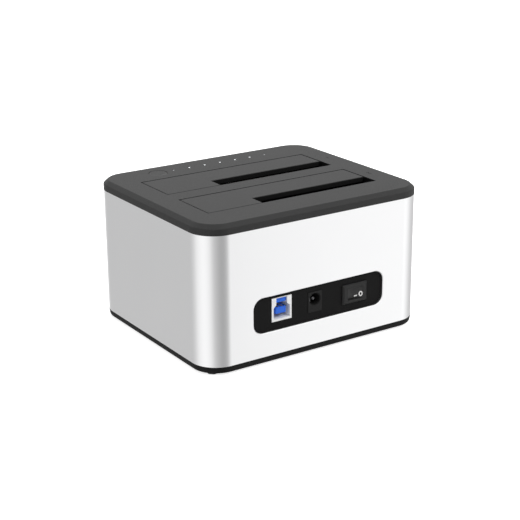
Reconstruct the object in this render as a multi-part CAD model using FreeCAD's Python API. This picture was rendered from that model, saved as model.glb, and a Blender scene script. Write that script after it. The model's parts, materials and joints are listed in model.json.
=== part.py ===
"""Dual-bay drive duplicator: an aluminium sleeve between a moulded base and a moulded cover.

Millimetres, +Z up. The origin is the middle of the footprint, on the plane the feet stand on.
+X runs along the long side, the indicators and the button are at -Y, the ports are at +Y.
"""

import FreeCAD, Part
import math
import os

V = FreeCAD.Vector

# ---------------------------------------------------------------- casing
body_length = 135.6         # cover and base, along X
corner_radius = 14.3        # plan corners of the cover and base
foot_show = 1.0             # height of the feet below the base
base_rise = 3.6             # black strip of the base under the sleeve
base_taper = 0.6            # how far the base's lower edge stands in from its upper edge
shell_height = 67.9         # aluminium sleeve
shell_reveal = 0.15         # cover and base stand this far proud of the sleeve
shell_wall = 1.55
band_height = 3.3           # upright edge of the cover
chamfer_rise = 2.1          # slope above the band
chamfer_run = 2.4
edge_ease = 0.25            # broken edges on the mouldings
cover_plate = 2.0           # thickness of the cover's top
lip_gap = 0.15              # locating lips inside the sleeve
lip_wall = 1.4
lip_height = 4.0
base_floor = 2.0

# ---------------------------------------------------------------- drives and their bays
drive_width = 101.6         # a 3.5 inch drive, seen from its connector end
drive_height = 26.1
small_drive_width = 69.85   # a 2.5 inch drive
small_drive_height = 9.5
bay_end_play = 1.0          # from a large drive to each end of its bay
bay_face_play = 1.15        # from a large drive to each side of its bay
slot_end_play = 1.65        # both ends of the slot together, round a small drive
slot_face_play = 0.5
bay_rib = 11.3              # between the two openings
bay_shift_x = 1.0           # middle of the openings from the middle of the cover
liner_wall = 1.2
liner_floor = 1.5
seat_above_board = 4.5      # where the end of a drive rests, over the main board

# ---------------------------------------------------------------- bay doors
door_gap = 0.35             # gap round a closed door
door_plate = 1.8
door_rib = 0.8              # stiffening rim under the door
door_rib_width = 1.2
hinge_drop = 4.0            # hinge axis under the top face
hinge_back = 3.0            # hinge axis behind the edge of the bay
hinge_pin_radius = 0.75
hinge_play = 0.05
knuckle_radius = 1.6
knuckle_width = 7.0
knuckle_spread = 74.0       # from one knuckle to the other
knuckle_side_gap = 0.2
arm_set = 0.3               # the knuckles' arms from the door's edge
arm_foot = 5.0              # how far the arms run under the door
ear_width = 2.5
tab_width = 6.0             # stop tabs under the cover's edge
tab_reach = 1.2
tab_thick = 1.2
tab_root = 3.0              # length of a tab's root under the door
tab_gap = 0.1
tab_side_gap = 0.6
tab_drop = 11.0             # how far the liner is cut away for a tab that swings
open_door_gap = 0.4         # behind a door that hangs open
knuckle_drop = 9.0          # how far the recess for the knuckles reaches below the axis
spring_wire = 0.3           # radius of the spring's wire
spring_coil = 1.4           # mean radius of the coil
spring_turns = 3
spring_sides = 10           # straight lengths in each turn
spring_pitch = 0.9
spring_leg = 4.6

# ---------------------------------------------------------------- port window and panel
window_length = 80.9
window_height = 18.7
window_radius = 5.5
window_bevel = 0.35
window_x = -0.25
window_rise = 22.05         # middle of the window over the sleeve's lower edge
panel_plate = 2.0
panel_corner = 2.0
panel_margin = 6.0          # how far the port panel reaches past the window
guide_grip = 3.0            # overlap of the base's guides behind the panel
guide_wall = 2.5
port_gap = 0.2              # round each port in the panel
port_proud = 0.2            # faces of the sockets in front of the panel
port_chamfer = 0.4          # at the mouth of the power inlet
board_rise = 16.9           # top of the main board over the sleeve's lower edge

# ---------------------------------------------------------------- USB type B socket
usb_x = 22.7
usb_length = 12.0
usb_height = 12.5
usb_depth = 17.0
usb_wall = 0.5
usb_mouth_depth = 9.5
usb_sill = 1.2              # under the opening
usb_lintel = 0.9            # over the opening
usb_wide = 9.8              # lower part of the opening
usb_narrow = 6.6            # upper part of the opening
usb_shoulder = 7.2          # where the opening starts to narrow
usb_neck = 8.7              # where it ends narrowing
tongue_width = 6.0
tongue_low = 3.6            # underside of the main tongue
tongue_high = 6.8
upper_tongue_low = 9.6      # underside of the upper tongue
tongue_set = 0.9            # ends of the tongues behind the face
strip_thick = 0.15
strip_width = 0.8
strip_spread = 2.5          # between the two strips on each side of the main tongue
strip_set = 0.7             # ends of the strips behind the ends of the tongues
upper_strip_width = 0.5
upper_strip_pitch = 1.0

# ---------------------------------------------------------------- power inlet
jack_x = 2.1
jack_length = 8.6
jack_height = 11.0
jack_depth = 14.0
jack_bore_radius = 3.2
jack_bore_rise = 6.7        # middle of the barrel over the main board
jack_bore_depth = 9.5
jack_pin_radius = 1.05
jack_pin_set = 1.5          # end of the centre pin behind the face
leaf_thick = 0.4
leaf_bite = 0.35            # how far the side leaf stands in from the bore
leaf_half_angle = 25.0      # the leaf's width, seen from the middle of the bore

# ---------------------------------------------------------------- rocker switch
rocker_x = -22.8
rocker_rise = 22.0          # middle of the switch over the sleeve's lower edge
rocker_length = 15.6        # bezel
rocker_height = 10.6
rocker_bezel = 1.4
bezel_chamfer = 0.8
bezel_end_rim = 2.4         # bezel beyond each end of the paddle's opening, at the panel
bezel_side_rim = 2.1        # bezel above and below the opening
rocker_body_height = 8.8
rocker_depth = 12.0
rocker_wall = 0.6
rocker_play = 0.2
rocker_tilt = 10.0          # each way from the middle
rocker_axis_depth = 1.2     # behind the panel's face
rocker_belly = 2.6          # depth of the paddle behind its axis
rocker_well = 4.6           # floor of the pocket behind the axis
rocker_rise_out = 0.3       # middle plane of the paddle's face in front of the panel
rocker_dish = 0.5           # the face's ends over that plane, and its middle under it
paddle_spare = 1.0          # degrees that the paddle's round ends go on past the travel
trunnion_radius = 1.0
blade_length = 4.2
blade_width = 2.8
blade_thick = 0.6
blade_spread = 7.0

# ---------------------------------------------------------------- indicators and button
light_count = 7
light_pitch = 9.93
light_radius = 0.65
light_sides = 12
light_middle_x = -3.6
front_row_inset = 13.6      # indicators and button from the front of the casing
button_x = 35.9
button_radius = 4.8
button_gap = 0.22
button_travel = 0.5
button_flange = 1.2
button_stem = 3.6
indicator_board_drop = 7.0  # top of the indicator board under the cover's plate
indicator_board_width = 13.0
row_gap = 1.3               # between the indicator board and the front chute
emitter_length = 2.4
emitter_width = 1.6
emitter_height = 0.8
emitter_gap = 0.2           # between an emitter and its pipe
tact_side = 6.0
tact_height = 3.4
tact_well = 1.6
plunger_side = 3.0
plunger_play = 0.1
plunger_show = 0.9
plunger_spare = 0.2         # travel left under a plunger that is pressed

# ---------------------------------------------------------------- boards and fasteners
board_thick = 1.6
board_side_gap = 3.0        # between the main board and the screw posts
board_front_gap = 6.4
board_back_gap = 3.0        # between the main board and the port panel
socket_gap = 1.3            # between the USB socket and the rear chute
post_inset = 9.8            # case screws from the sides
post_side = 6.0
screw_radius = 1.5
screw_head_radius = 2.8
screw_length = 13.0
screw_spare = 2.0           # depth of a pilot hole past the end of its screw
foot_side = 10.0
foot_corner = 2.0
prop_side = 5.2             # supports under the corners of the main board
prop_inset = 5.0
clip_wall = 1.6             # clips over the sides of the main board
clip_width = 8.0
clip_bite = 1.2
clip_gap = 0.2
lug_thick = 1.6
lug_reach = 3.6
lug_width = 9.0
lug_drop = 5.0              # top of the liners' lugs under the cover's plate
hook_wall = 1.4             # hooks under the cover
hook_bite = 1.5
hook_clear = 1.0            # between the button's flange and the nearest hook

# ---------------------------------------------------------------- parts on the main board
bridge_side = 14.0          # the bridge controller
memory_side = 9.0
supply_side = 6.0
chip_height = 1.2
chip_ease = 0.3
chip_gap = 7.0
bridge_x = 18.0
can_radius = 2.5            # electrolytic cans beside the power inlet
can_height = 8.0
can_gap = 1.8
header_width = 4.0
header_height = 2.2
switch_header_length = 7.5
light_header_length = 15.0
header_inset = 4.0          # from the board's sides and ends

# ---------------------------------------------------------------- drive connectors
sata_length = 42.7
sata_width = 5.8
sata_height = 9.2
sata_from_side = 30.12      # middle of the connector from the side of the drive
sata_from_face = 3.5        # middle of its tongue from the face of the drive
sata_slot_depth = 6.0
sata_slot_width = 1.8
sata_key_length = 1.3
sata_key_reach = 1.0
sata_rib = 4.0              # between the signal slot and the power slot
sata_gap = 0.3
signal_slot = 10.5
power_slot = 20.8
contact_pitch = 1.27
contact_width = 0.6
contact_thick = 0.3
contact_set = 0.8           # top of the contacts under the top of the connector
contact_end = 0.9           # last contact from the end of its slot

# ---------------------------------------------------------------- sizes and levels that follow
bay_length = drive_width + 2 * bay_end_play
bay_width = drive_height + 2 * bay_face_play
slot_length = small_drive_width + slot_end_play
slot_width = small_drive_height + slot_face_play
door_pocket = hinge_back + tab_reach + tab_gap + cover_plate - hinge_drop + open_door_gap
front_margin = front_row_inset + indicator_board_width / 2 + row_gap + liner_wall + door_pocket
back_margin = liner_wall + socket_gap + usb_depth - port_proud + shell_wall + shell_reveal
body_width = front_margin + 2 * bay_width + bay_rib + back_margin
z_base = foot_show
z_floor = z_base + base_floor
z_shell = z_base + base_rise
z_cover = z_shell + shell_height
z_band = z_cover + band_height
z_top = z_band + chamfer_rise
z_plate = z_top - cover_plate
z_board = z_shell + board_rise
z_seat = z_board + seat_above_board
z_hinge = z_top - hinge_drop
z_lights = z_plate - indicator_board_drop
z_ports = z_shell + window_rise
y_front = -body_width / 2
y_back = body_width / 2 - shell_reveal
y_panel = y_back - shell_wall
y_ports = y_panel + port_proud
lip_inset = shell_reveal + shell_wall + lip_gap
bay_x0 = bay_shift_x - bay_length / 2
bay_x1 = bay_shift_x + bay_length / 2
slot_x1 = bay_x0 + slot_length
front_bay_y = y_front + front_margin + bay_width / 2
bay_middles = {"front": front_bay_y, "rear": front_bay_y + bay_width + bay_rib}
front_row_y = y_front + front_row_inset
paddle_radius = math.hypot(rocker_length / 2 - bezel_end_rim - rocker_play, rocker_axis_depth)
rocker_body_length = 2 * (paddle_radius + rocker_play + rocker_wall)
post_x = body_length / 2 - post_inset
post_y = body_width / 2 - post_inset
board_length = 2 * (post_x - post_side / 2 - board_side_gap)
board_front_y = board_front_gap + post_side / 2 - post_y
board_back_y = y_panel - panel_plate - board_back_gap


# ---------------------------------------------------------------- shape helpers
def box(x0, x1, y0, y1, z0, z1):
    """A block between two corners."""
    return Part.makeBox(x1 - x0, y1 - y0, z1 - z0, V(x0, y0, z0))


def upright_rod(x, y, z0, z1, radius):
    """A round bar along Z."""
    return Part.makeCylinder(radius, z1 - z0, V(x, y, z0), V(0, 0, 1))


def slim_rod(x, y, z0, z1, radius, sides):
    """A bar along Z with few sides, for a detail too small to need a true circle."""
    turns = [2 * math.pi * n / sides for n in range(sides)]
    return profile_z([(x + radius * math.cos(a), y + radius * math.sin(a)) for a in turns], z0, z1)


def long_rod(x0, x1, y, z, radius):
    """A round bar along X."""
    return Part.makeCylinder(radius, x1 - x0, V(x0, y, z), V(1, 0, 0))


def deep_rod(x, z, y0, y1, radius):
    """A round bar along Y."""
    return Part.makeCylinder(radius, y1 - y0, V(x, y0, z), V(0, 1, 0))


def rounded_wire(length, width, radius, z):
    """A rectangle with round corners, level, about the origin."""
    x = length / 2 - radius
    y = width / 2 - radius
    corners = [(x, y), (-x, y), (-x, -y), (x, -y)]
    arcs = []
    for turn, (cx, cy) in enumerate(corners):
        circle = Part.Circle(V(cx, cy, z), V(0, 0, 1), radius)
        arcs.append(Part.Arc(circle, turn * math.pi / 2, (turn + 1) * math.pi / 2).toShape())
    edges = []
    for arc, following in zip(arcs, arcs[1:] + arcs[:1]):
        edges.append(arc)
        edges.append(Part.makeLine(arc.lastVertex().Point, following.firstVertex().Point))
    return Part.Wire(edges)


def rounded_slab(length, width, radius, z0, z1):
    """An upright prism on a rounded rectangle."""
    return Part.Face(rounded_wire(length, width, radius, z0)).extrude(V(0, 0, z1 - z0))


def tapered_slab(length, width, radius, inset_low, inset_high, z0, z1):
    """A rounded slab whose sides lean from one inset to the other."""
    low = rounded_wire(length - 2 * inset_low, width - 2 * inset_low, radius - inset_low, z0)
    high = rounded_wire(length - 2 * inset_high, width - 2 * inset_high, radius - inset_high, z1)
    return Part.makeLoft([low, high], True, True)


def plan_slab(inset, z0, z1):
    """A slab with the outline of the casing, drawn in by an inset."""
    return rounded_slab(body_length - 2 * inset, body_width - 2 * inset, corner_radius - inset, z0, z1)


def upright_plate(length, height, radius, x, z, y0, y1):
    """A plate with round corners that stands across Y."""
    plate = rounded_slab(length, height, radius, 0, y1 - y0)
    plate.rotate(V(0, 0, 0), V(1, 0, 0), 90)
    plate.translate(V(x, y1, z))
    return plate


def profile_x(points, x0, x1):
    """A prism along X from an outline of (y, z) points."""
    corners = [V(x0, y, z) for y, z in points]
    return Part.Face(Part.makePolygon(corners + corners[:1])).extrude(V(x1 - x0, 0, 0))


def profile_y(points, y0, y1):
    """A prism along Y from an outline of (x, z) points."""
    corners = [V(x, y0, z) for x, z in points]
    return Part.Face(Part.makePolygon(corners + corners[:1])).extrude(V(0, y1 - y0, 0))


def profile_z(points, z0, z1):
    """An upright prism from an outline of (x, y) points."""
    corners = [V(x, y, z0) for x, y in points]
    return Part.Face(Part.makePolygon(corners + corners[:1])).extrude(V(0, 0, z1 - z0))


def join(shapes):
    """One solid from pieces that touch or overlap."""
    return shapes[0].multiFuse(shapes[1:]).removeSplitter()


def carve(shape, tools):
    """The shape without the tools."""
    return shape.cut(Part.makeCompound(tools))


def level_edges(shape, z, outline):
    """The edges of a shape that lie at one height inside a box of (x0, x1, y0, y1)."""
    x0, x1, y0, y1 = outline
    found = []
    for edge in shape.Edges:
        b = edge.BoundBox
        level = abs(b.ZMin - z) < 1e-4 and abs(b.ZMax - z) < 1e-4
        if level and b.XMin > x0 and b.XMax < x1 and b.YMin > y0 and b.YMax < y1:
            found.append(edge)
    return found


def write(name, shapes):
    """One STEP file for a node: a solid, or a group of separate solids."""
    solids = []
    for shape in shapes:
        solids.extend(shape.Solids)
    body = solids[0] if len(solids) == 1 else Part.makeCompound(solids)
    body.exportStep("parts/" + name + ".step")


# ---------------------------------------------------------------- places that pieces share
def bay_edges(bay):
    """The -Y and +Y edges of a bay's opening."""
    middle = bay_middles[bay]
    return middle - bay_width / 2, middle + bay_width / 2


def hinge_y(bay):
    return bay_edges(bay)[0] - hinge_back


def post_places():
    return [(sx * post_x, sy * post_y) for sx in (-1, 1) for sy in (-1, 1)]


def prop_places():
    """Supports under the corners of the main board."""
    x = board_length / 2 - prop_inset
    return [(sx * x, y) for sx in (-1, 1)
            for y in (board_front_y + prop_inset, board_back_y - prop_inset)]


def knuckle_places():
    return [bay_shift_x - knuckle_spread / 2, bay_shift_x + knuckle_spread / 2]


def tab_places():
    """Middles of the stop tabs, along the part of the door beside the slot."""
    wide = bay_x1 - slot_x1
    return [slot_x1 + wide * share for share in (0.25, 0.75)]


def light_places():
    first = light_middle_x - light_pitch * (light_count - 1) / 2
    return [first + light_pitch * n for n in range(light_count)]


def lug_tips():
    """The outer ends of a liner's lugs: (x, side)."""
    reach = liner_wall + lug_reach
    return [(bay_x0 - reach, -1), (bay_x1 + reach, 1)]


def sata_place(bay):
    """Middle of a drive connector."""
    x = bay_x0 + bay_end_play + sata_from_side
    y = bay_edges(bay)[1] - bay_face_play - sata_from_face
    return x, y


def indicator_board_ends():
    """Beyond the first light and beyond the button: (x, side)."""
    return [(light_places()[0] - light_pitch, -1),
            (button_x + button_radius + button_flange + hook_clear + 2 * hook_bite, 1)]


# ---------------------------------------------------------------- casing
def aluminium_shell():
    """The sleeve, with the port window in its back."""
    tube = plan_slab(shell_reveal, z_shell, z_cover)
    tube = tube.cut(plan_slab(shell_reveal + shell_wall, z_shell - 1, z_cover + 1))
    hole = upright_plate(window_length, window_height, window_radius, window_x, z_ports,
                         y_panel - 1, y_back + 1)
    tube = tube.cut(hole)
    rim = []
    for edge in tube.Edges:
        b = edge.BoundBox
        on_face = b.YMin > y_back - 1e-4
        if on_face and b.ZMin > z_shell + 1 and b.ZMax < z_cover - 1:
            rim.append(edge)
    return tube.makeChamfer(window_bevel, rim)


def cover_blank():
    """The cover's outer form: an upright band, then a slope up to the flat top."""
    band = plan_slab(0, z_cover, z_band)
    slope = tapered_slab(body_length, body_width, corner_radius, 0, chamfer_run, z_band, z_top)
    return join([band, slope])


def hinge_ears(bay):
    """Two ears under the cover that hold one hinge pin, each outside a knuckle."""
    y = hinge_y(bay)
    r = knuckle_radius
    outline = [(y - r, z_plate), (y - r, z_hinge), (y - r / 2, z_hinge - r), (y + r / 2, z_hinge - r),
               (y + r, z_hinge), (y + r, z_plate)]
    ears = []
    for side, x in zip((-1, 1), knuckle_places()):
        near = x + side * (knuckle_width / 2 + knuckle_side_gap)
        x0 = min(near, near + side * ear_width)
        ears.append(profile_x(outline, x0, x0 + ear_width))
    return ears


def end_hook(tip_x, side, y, width, z):
    """A hook under the cover that reaches round the end of a part and bears on its underside at z."""
    leg = [tip_x, tip_x + side * hook_wall]
    bite = [tip_x - side * hook_bite, tip_x + side * hook_wall]
    y0 = y - width / 2
    y1 = y + width / 2
    return [box(min(leg), max(leg), y0, y1, z - hook_wall, z_plate),
            box(min(bite), max(bite), y0, y1, z - hook_wall, z)]


def top_cover():
    """Cover with its locating lip, screw posts, hinge ears and bosses."""
    body = join([cover_blank(), plan_slab(lip_inset, z_cover - lip_height, z_cover)])
    body = body.cut(plan_slab(lip_inset + lip_wall, z_cover - lip_height - 1, z_plate))
    added = []
    holes = []
    half = post_side / 2
    for x, y in post_places():
        added.append(box(x - half, x + half, y - half, y + half, z_floor, z_plate))
        holes.append(upright_rod(x, y, z_base, z_base + screw_length + screw_spare, screw_radius))
    for bay in bay_middles:
        added += hinge_ears(bay)
        pin_y = hinge_y(bay)
        holes.append(long_rod(bay_x0, bay_x1, pin_y, z_hinge, hinge_pin_radius))
        for tip_x, side in lug_tips():
            added += end_hook(tip_x, side, bay_middles[bay], lug_width, z_plate - lug_drop - lug_thick)
        low, high = bay_edges(bay)
        holes.append(box(bay_x0, bay_x1, low, high, z_plate - 1, z_top + 1))
    for x, side in indicator_board_ends():
        added += end_hook(x, side, front_row_y, lug_width, z_lights - board_thick)
        block = [x, x - side * 2 * hook_bite]
        added.append(box(min(block), max(block), front_row_y - lug_width / 2,
                         front_row_y + lug_width / 2, z_lights, z_plate))
    for x in light_places():
        holes.append(slim_rod(x, front_row_y, z_plate - 1, z_top + 1, light_radius, light_sides))
    holes.append(upright_rod(button_x, front_row_y, z_plate - 1, z_top + 1,
                             button_radius + button_gap))
    body = carve(join([body] + added), holes)
    rims = []
    for bay in bay_middles:
        low, high = bay_edges(bay)
        rims += level_edges(body, z_top, (bay_x0 - 1, bay_x1 + 1, low - 1, high + 1))
    around_button = button_radius + 1
    rims += level_edges(body, z_top, (button_x - around_button, button_x + around_button,
                                      front_row_y - around_button, front_row_y + around_button))
    return body.makeChamfer(edge_ease, rims)


def base_tray():
    """Base with a tapered strip, a locating lip, supports and clips for the board, and panel guides."""
    body = tapered_slab(body_length, body_width, corner_radius, base_taper, 0, z_base, z_shell)
    body = join([body, plan_slab(lip_inset, z_shell, z_shell + lip_height)])
    body = body.cut(plan_slab(lip_inset + lip_wall, z_floor, z_shell + lip_height + 1))
    added = []
    holes = [case_screw(x, y) for x, y in post_places()]
    half = prop_side / 2
    for x, y in prop_places():
        added.append(box(x - half, x + half, y - half, y + half, z_floor, z_board - board_thick))
    added += board_clips()
    added += panel_guides()
    return carve(join([body] + added), holes)


def board_clips():
    """Two clips that bear on the top of the main board at its sides."""
    top = z_board + clip_wall
    clips = []
    for side in (-1, 1):
        edge = side * board_length / 2
        near = edge + side * clip_gap
        outline = [(near, z_floor), (near + side * clip_wall, z_floor), (near + side * clip_wall, top),
                   (edge - side * clip_bite, top), (edge - side * clip_bite, z_board), (near, z_board)]
        clips.append(profile_y(outline, bay_middles["rear"] - clip_width / 2,
                               bay_middles["rear"] + clip_width / 2))
    return clips


def panel_guides():
    """Two grooved uprights that hold the ends of the port panel."""
    half = window_length / 2 + panel_margin
    back = y_panel - panel_plate
    top = z_ports + window_height / 2
    guides = []
    for side in (-1, 1):
        inner = window_x + side * (half - guide_grip)
        outer = window_x + side * (half + guide_wall)
        post = box(min(inner, outer), max(inner, outer), back - guide_wall, back, z_floor, top)
        end = box(min(window_x + side * half, outer), max(window_x + side * half, outer),
                  back, y_panel - lip_gap, z_floor, top)
        guides += [post, end]
    return guides


def rubber_feet():
    """Four square pads with cut corners, which cover the case screws."""
    a = foot_side / 2
    b = a - foot_corner
    outline = [(a, b), (b, a), (-b, a), (-a, b), (-a, -b), (-b, -a), (b, -a), (a, -b)]
    return [profile_z([(x + dx, y + dy) for dx, dy in outline], 0, z_base) for x, y in post_places()]


# ---------------------------------------------------------------- bays
def bay_door(bay):
    """The L-shaped flap, its knuckles and its two stop tabs."""
    low, high = bay_edges(bay)
    x0 = bay_x0 + door_gap
    x1 = bay_x1 - door_gap
    y0 = low + door_gap
    y1 = high - door_gap
    step_y = high - slot_width
    outline = [(x0, y0), (x1, y0), (x1, y1), (slot_x1, y1), (slot_x1, step_y), (x0, step_y)]
    under = z_top - door_plate
    plate = profile_z(outline, under, z_top)
    edges = level_edges(plate, z_top, (x0 - 1, x1 + 1, y0 - 1, y1 + 1))
    plate = plate.makeChamfer(edge_ease, edges)
    w = door_rib_width
    rim = profile_z(outline, under - door_rib, under)
    inside = [(x0 + w, y0 + w), (x1 - w, y0 + w), (x1 - w, y1 - w), (slot_x1 + w, y1 - w),
              (slot_x1 + w, step_y - w), (x0 + w, step_y - w)]
    rim = rim.cut(profile_z(inside, under - door_rib - 1, under + 1))
    added = [rim]
    axis_y = hinge_y(bay)
    for x in knuckle_places():
        left = x - knuckle_width / 2
        right = x + knuckle_width / 2
        added.append(long_rod(left, right, axis_y, z_hinge, knuckle_radius))
        tangent = knuckle_radius * math.cos(math.pi / 4)
        arm = [(axis_y, z_hinge + knuckle_radius), (y0 + arm_set, z_hinge + knuckle_radius),
               (y0 + arm_set, under), (y0 + arm_foot, under), (axis_y + tangent, z_hinge - tangent)]
        added.append(profile_x(arm, left, right))
    lip_top = z_plate - tab_gap
    lip_foot = lip_top - tab_thick
    for x in tab_places():
        hook = [(y1 - tab_root, under), (y1, under), (y1, lip_top), (high + tab_reach, lip_top),
                (high + tab_reach, lip_foot), (y1 - tab_root / 2, lip_foot)]
        added.append(profile_x(hook, x - tab_width / 2, x + tab_width / 2))
    body = join([plate] + added)
    return body.cut(long_rod(bay_x0, bay_x1, axis_y, z_hinge, hinge_pin_radius + hinge_play))


def hinge_pin(bay):
    """A plain steel pin through the ears and the knuckles."""
    reach = knuckle_spread / 2 + knuckle_width / 2 + knuckle_side_gap + ear_width
    return long_rod(bay_shift_x - reach, bay_shift_x + reach, hinge_y(bay), z_hinge, hinge_pin_radius)


def door_spring(bay):
    """A torsion spring round the pin: one leg bears under the door, the other under the cover."""
    y = hinge_y(bay)
    steps = spring_turns * spring_sides
    path = []
    for n in range(steps + 1):
        turn = 2 * math.pi * n / spring_sides
        along = spring_pitch * (n / spring_sides - spring_turns / 2)
        path.append(V(bay_shift_x + along, y - spring_coil * math.sin(turn),
                      z_hinge + spring_coil * math.cos(turn)))
    path.insert(0, path[0] + V(0, spring_leg, -spring_wire * 1.5))
    path.append(path[-1] - V(0, spring_coil, -spring_wire * 0.8))
    wire = Part.makePolygon(path)
    ring = Part.makeCircle(spring_wire, path[0], path[1] - path[0])
    corners = [ring.valueAt(2 * math.pi * n / 5) for n in range(5)]
    section = Part.makePolygon(corners + corners[:1])
    return wire.makePipeShell([section], True, False, 1)


def bay_liner(bay):
    """The chute that guides a drive, with its floor, screw lugs and door recess."""
    low, high = bay_edges(bay)
    y0 = low - door_pocket
    foot = z_seat - liner_floor
    w = liner_wall
    body = box(bay_x0 - w, bay_x1 + w, y0 - w, high + w, foot, z_plate)
    body = body.cut(box(bay_x0, bay_x1, y0, high, z_seat, z_plate + 1))
    holes = [box(bay_x0, bay_x1, y0 - w - 1, y0, z_hinge - knuckle_drop, z_plate + 1)]
    lugs = []
    for tip_x, side in lug_tips():
        ends = [tip_x, tip_x - side * (lug_reach + w / 2)]
        top = z_plate - lug_drop
        lugs.append(box(min(ends), max(ends), bay_middles[bay] - lug_width / 2,
                        bay_middles[bay] + lug_width / 2, top - lug_thick, top))
    body = join([body] + lugs)
    for x in tab_places():
        half = tab_width / 2 + tab_side_gap
        holes.append(box(x - half, x + half, high, high + w + 1, z_plate - tab_drop, z_plate + 1))
    x, y = sata_place(bay)
    half_x = sata_length / 2 + sata_gap
    half_y = sata_width / 2 + sata_gap
    holes.append(box(x - half_x, x + half_x, y - half_y, y + half_y, foot - 1, z_seat + 1))
    return carve(body, holes)


def sata_receptacle(bay):
    """An upright combined connector: a signal slot and a power slot, each with its key."""
    x, y = sata_place(bay)
    x0 = x - sata_length / 2
    top = z_board + sata_height
    body = box(x0, x0 + sata_length, y - sata_width / 2, y + sata_width / 2, z_board, top)
    slots = []
    foot = top - sata_slot_depth
    half = sata_slot_width / 2
    for start, length in sata_slots(bay):
        slots.append(box(start, start + length, y - half, y + half, foot, top + 1))
        slots.append(box(start, start + sata_key_length, y - half, y + half + sata_key_reach,
                         foot, top + 1))
    return carve(body, slots)


def sata_slots(bay):
    """Start and length of the signal slot and the power slot along X."""
    x, y = sata_place(bay)
    first = x - (signal_slot + sata_rib + power_slot) / 2
    return [(first, signal_slot), (first + signal_slot + sata_rib, power_slot)]


def sata_contacts(bay):
    """Sprung contacts in both slots."""
    x, y = sata_place(bay)
    top = z_board + sata_height
    wall_y = y - sata_slot_width / 2
    contacts = []
    for start, length in sata_slots(bay):
        count = int((length - sata_key_length) / contact_pitch)
        last = start + length - contact_end
        for n in range(count):
            x0 = last - n * contact_pitch - contact_width / 2
            contacts.append(box(x0, x0 + contact_width, wall_y, wall_y + contact_thick,
                                top - sata_slot_depth, top - contact_set))
    return contacts


# ---------------------------------------------------------------- main board
def main_board():
    """The main circuit board."""
    return box(-board_length / 2, board_length / 2, board_front_y, board_back_y,
               z_board - board_thick, z_board)


def chips():
    """The bridge controller, with its memory and its supply controller beside it."""
    y = (sata_place("front")[1] + sata_place("rear")[1]) / 2
    memory_x = bridge_x - bridge_side / 2 - chip_gap - memory_side / 2
    supply_x = bridge_x + bridge_side / 2 + chip_gap + supply_side / 2
    packages = []
    for x, side in ((bridge_x, bridge_side), (memory_x, memory_side), (supply_x, supply_side)):
        package = box(x - side / 2, x + side / 2, y - side / 2, y + side / 2,
                      z_board, z_board + chip_height)
        top = level_edges(package, z_board + chip_height, (x - side, x + side, y - side, y + side))
        packages.append(package.makeChamfer(chip_ease, top))
    return packages


def capacitors():
    """Electrolytic cans on both sides of the power inlet."""
    reach = jack_length / 2 + can_gap + can_radius
    y = board_back_y - 2 * can_radius
    return [upright_rod(x, y, z_board, z_board + can_height, can_radius)
            for x in (jack_x - reach, jack_x + reach)]


def board_headers():
    """Pin headers for the loose leads to the switch and to the indicator board."""
    x1 = board_length / 2 - header_inset
    y1 = board_back_y - header_inset
    y0 = board_front_y + header_inset
    top = z_board + header_height
    return [box(-x1, header_width - x1, y1 - switch_header_length, y1, z_board, top),
            box(x1 - header_width, x1, y0, y0 + light_header_length, z_board, top)]


# ---------------------------------------------------------------- port panel
def port_panel():
    """The black plate behind the window, standing on the base's lip."""
    foot = z_shell + lip_height
    top = z_ports + window_height / 2 + panel_margin
    plate = upright_plate(window_length + 2 * panel_margin, top - foot, panel_corner, window_x,
                          (foot + top) / 2, y_panel - panel_plate, y_panel)
    middle = z_shell + rocker_rise
    half_z = rocker_body_height / 2
    holes = [port_hole(usb_x, usb_length, z_board, z_board + usb_height),
             port_hole(jack_x, jack_length, z_board, z_board + jack_height),
             port_hole(rocker_x, rocker_body_length, middle - half_z, middle + half_z)]
    return carve(plate, holes)


def port_hole(x, length, z0, z1):
    """A cut through the panel round one port."""
    half = length / 2 + port_gap
    return box(x - half, x + half, y_panel - panel_plate - 1, y_panel + 1, z0 - port_gap, z1 + port_gap)


def usb_mouth(y0, y1):
    """The opening of a type B socket: a wide lower part and a narrow upper part."""
    foot = z_board + usb_sill
    shoulder = z_board + usb_shoulder
    neck = z_board + usb_neck
    top = z_board + usb_height - usb_lintel
    wide = usb_wide / 2
    narrow = usb_narrow / 2
    outline = [(usb_x - wide, foot), (usb_x + wide, foot), (usb_x + wide, shoulder),
               (usb_x + narrow, neck), (usb_x + narrow, top), (usb_x - narrow, top),
               (usb_x - narrow, neck), (usb_x - wide, shoulder)]
    return profile_y(outline, y0, y1)


def usb_shell():
    """The plated steel shell of the socket."""
    half = usb_length / 2
    inner = half - usb_wall
    back = y_ports - usb_depth
    deep = y_ports - usb_mouth_depth
    body = box(usb_x - half, usb_x + half, back, y_ports, z_board, z_board + usb_height)
    body = body.cut(usb_mouth(deep, y_ports + 1))
    core = box(usb_x - inner, usb_x + inner, back - 1, deep, z_board - 1,
               z_board + usb_height - usb_wall)
    return body.cut(core)


def usb_insulator():
    """The blue moulding: a block at the back and the two tongues that carry the contacts."""
    inner = usb_length / 2 - usb_wall
    half = tongue_width / 2
    deep = y_ports - usb_mouth_depth
    tip = y_ports - tongue_set
    block = box(usb_x - inner, usb_x + inner, y_ports - usb_depth + usb_wall, deep,
                z_board, z_board + usb_height - usb_wall)
    lower = box(usb_x - half, usb_x + half, deep, tip, z_board + tongue_low, z_board + tongue_high)
    upper = box(usb_x - half, usb_x + half, deep, tip, z_board + upper_tongue_low,
                z_board + usb_height - usb_lintel)
    return join([block, lower, upper])


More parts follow.
